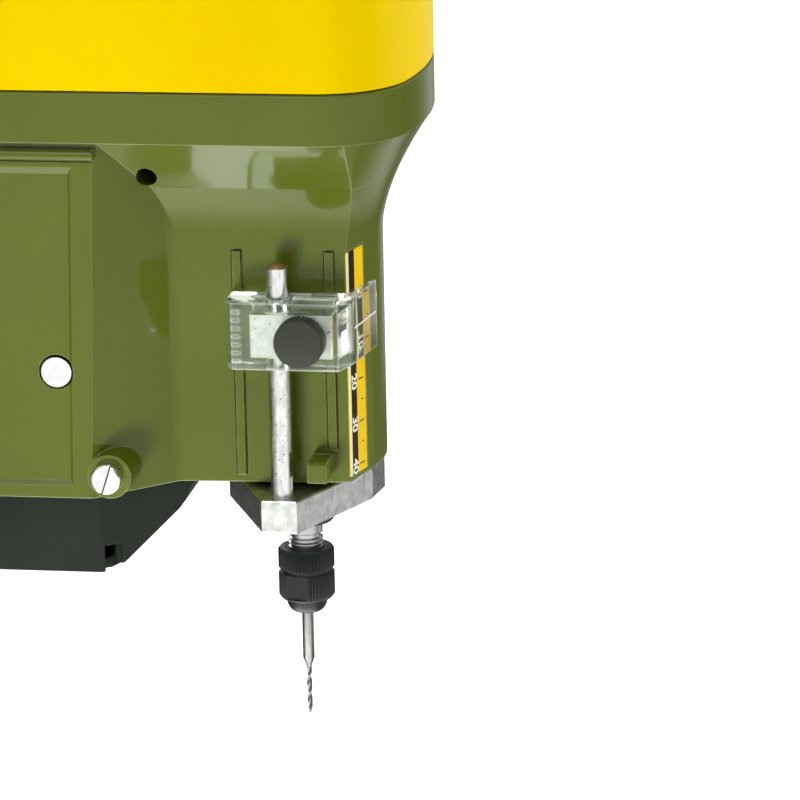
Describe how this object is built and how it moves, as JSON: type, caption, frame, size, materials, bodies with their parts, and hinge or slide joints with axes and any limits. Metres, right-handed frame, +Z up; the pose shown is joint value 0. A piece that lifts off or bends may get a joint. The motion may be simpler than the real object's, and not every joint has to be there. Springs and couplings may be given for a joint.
{
  "type": "mini drill press",
  "caption": "Small bench drill press with a quill feed lever, clear depth stop on a rod, stepped belt drive and a head that cranks up a column.",
  "frame": {"origin": "middle of the base's underside, on the bench", "axes": "+Z up along the column, -Y towards the user, +X to the machine's right"},
  "size_m": [0.1315, 0.2252, 0.347],
  "materials": {
    "green_paint": "glossy olive green stove enamel on a die casting",
    "yellow_plastic": "glossy moulded yellow ABS",
    "black_plastic": "matt moulded black plastic",
    "cast_table": "casting, milled on top and painted on its sides",
    "ground_steel": "ground steel",
    "chromed_steel": "bright chromed steel",
    "dark_steel": "black-finished steel",
    "spring_steel": "hardened spring steel",
    "nickel_screw": "bright nickel-plated steel",
    "zinc_steel": "zinc-plated pressed steel",
    "bearing_steel": "polished bearing steel",
    "bronze": "oiled bronze",
    "belt_rubber": "moulded round rubber belt",
    "scale_print": "printed scale strip, yellow and black",
    "satin_aluminium": "milled aluminium",
    "clear_acrylic": "clear polished acrylic",
    "black_oxide": "black-oxided steel",
    "black_knob": "black moulded knob plastic"
  },
  "bodies": {
    "base": {"base_table": "cast_table", "column": "ground_steel", "column_rack": "dark_steel", "column_cap": "black_plastic", "column_set_screws": "dark_steel"},
    "head": {"head_casting": "green_paint", "bottom_cover": "black_plastic", "bottom_cover_screws": "dark_steel", "depth_scale_strip": "scale_print", "motor_can": "zinc_steel", "motor_screws": "dark_steel", "pulley_bearing": "bearing_steel", "drive_belt": "belt_rubber", "feed_shaft_bushes": "bronze", "return_spring": "spring_steel", "side_lock_screw": "nickel_screw", "switch_bezel": "black_plastic", "cable_gland": "black_plastic", "crank_bush": "bronze"},
    "rotor": {"motor_shaft": "ground_steel", "motor_armature": "dark_steel", "motor_fan": "black_plastic", "motor_pulley": "satin_aluminium", "motor_pulley_grub": "dark_steel"},
    "pulley": {"spindle_pulley": "satin_aluminium"},
    "quill": {"quill_sleeve": "ground_steel", "quill_bearings": "bearing_steel", "stop_plate": "satin_aluminium", "stop_plate_screw": "dark_steel", "depth_rod": "ground_steel"},
    "spindle": {"spindle_shaft": "ground_steel", "collet": "ground_steel", "collet_nut": "black_oxide", "drill_bit": "ground_steel"},
    "feed": {"feed_shaft": "nickel_screw", "sector_gear": "dark_steel", "feed_hub": "black_plastic", "feed_lever_rod": "chromed_steel", "feed_lever_ball": "black_knob"},
    "depth_stop": {"depth_slider": "clear_acrylic", "slider_clamp_block": "satin_aluminium"},
    "stop_screw": {"slider_thumb_screw": "black_knob"},
    "crank": {"crank_shaft": "dark_steel", "crank_arm": "satin_aluminium", "crank_pin": "chromed_steel"},
    "crank_grip": {"crank_handle": "black_knob"},
    "column_lever": {"clamp_screw": "dark_steel", "clamp_lever": "black_knob"},
    "cover": {"belt_cover": "yellow_plastic"},
    "cover_screw": {"cover_knob": "black_knob"},
    "rocker": {"switch_rocker": "black_plastic"}
  },
  "joints": [
    {"name": "head_height", "type": "slide", "parent": "base", "child": "head", "axis": [0, 0, -1], "range_m": [0, 0.085]},
    {"name": "height_crank", "type": "hinge", "parent": "head", "child": "crank", "pos_m": [0, 0.0664, 0.222], "axis": [1, 0, 0], "range_deg": [0, 695.9]},
    {"name": "crank_grip_spin", "type": "hinge", "parent": "crank", "child": "crank_grip", "pos_m": [0.0436, 0.0664, 0.182], "axis": [1, 0, 0], "continuous": true},
    {"name": "column_clamp", "type": "hinge", "parent": "head", "child": "column_lever", "pos_m": [0, 0.104, 0.236], "axis": [1, 0, 0], "range_deg": [0, 60]},
    {"name": "quill_feed", "type": "slide", "parent": "head", "child": "quill", "axis": [0, 0, -1], "range_m": [0, 0.0227], "stiffness_N_per_m": 400, "springref_m": -0.02},
    {"name": "feed_lever", "type": "hinge", "parent": "head", "child": "feed", "pos_m": [0, -0.0077, 0.2276], "axis": [1, 0, 0], "range_deg": [0, 31.2]},
    {"name": "motor_spin", "type": "hinge", "parent": "head", "child": "rotor", "pos_m": [0, 0.03, 0.24], "axis": [0, 0, 1], "continuous": true},
    {"name": "pulley_spin", "type": "hinge", "parent": "head", "child": "pulley", "pos_m": [0, -0.058, 0.3], "axis": [0, 0, 1], "continuous": true},
    {"name": "spindle_spin", "type": "hinge", "parent": "quill", "child": "spindle", "pos_m": [0, -0.058, 0.18], "axis": [0, 0, 1], "continuous": true},
    {"name": "depth_stop_set", "type": "slide", "parent": "quill", "child": "depth_stop", "axis": [0, 0, 1], "range_m": [0, 0.008]},
    {"name": "stop_screw_turn", "type": "hinge", "parent": "depth_stop", "child": "stop_screw", "pos_m": [-0.033, -0.0645, 0.2364], "axis": [-1, 0, 0], "range_deg": [0, 360]},
    {"name": "cover_lift", "type": "slide", "parent": "head", "child": "cover", "axis": [0, 0, 1], "range_m": [0, 0.055]},
    {"name": "cover_knob_turn", "type": "hinge", "parent": "cover", "child": "cover_screw", "pos_m": [0, -0.014, 0.338], "axis": [0, 0, 1], "range_deg": [0, 720]},
    {"name": "switch_rock", "type": "hinge", "parent": "head", "child": "rocker", "pos_m": [0.0345, 0.006, 0.262], "axis": [0, 1, 0], "range_deg": [0, 14]}
  ],
  "couplings": [
    {"joint": "height_crank", "follows": "head_height", "rad_per_m": 142.86},
    {"joint": "feed_lever", "follows": "quill_feed", "rad_per_m": 23.866},
    {"joint": "pulley_spin", "follows": "motor_spin", "ratio": 1},
    {"joint": "spindle_spin", "follows": "motor_spin", "ratio": 1}
  ]
}
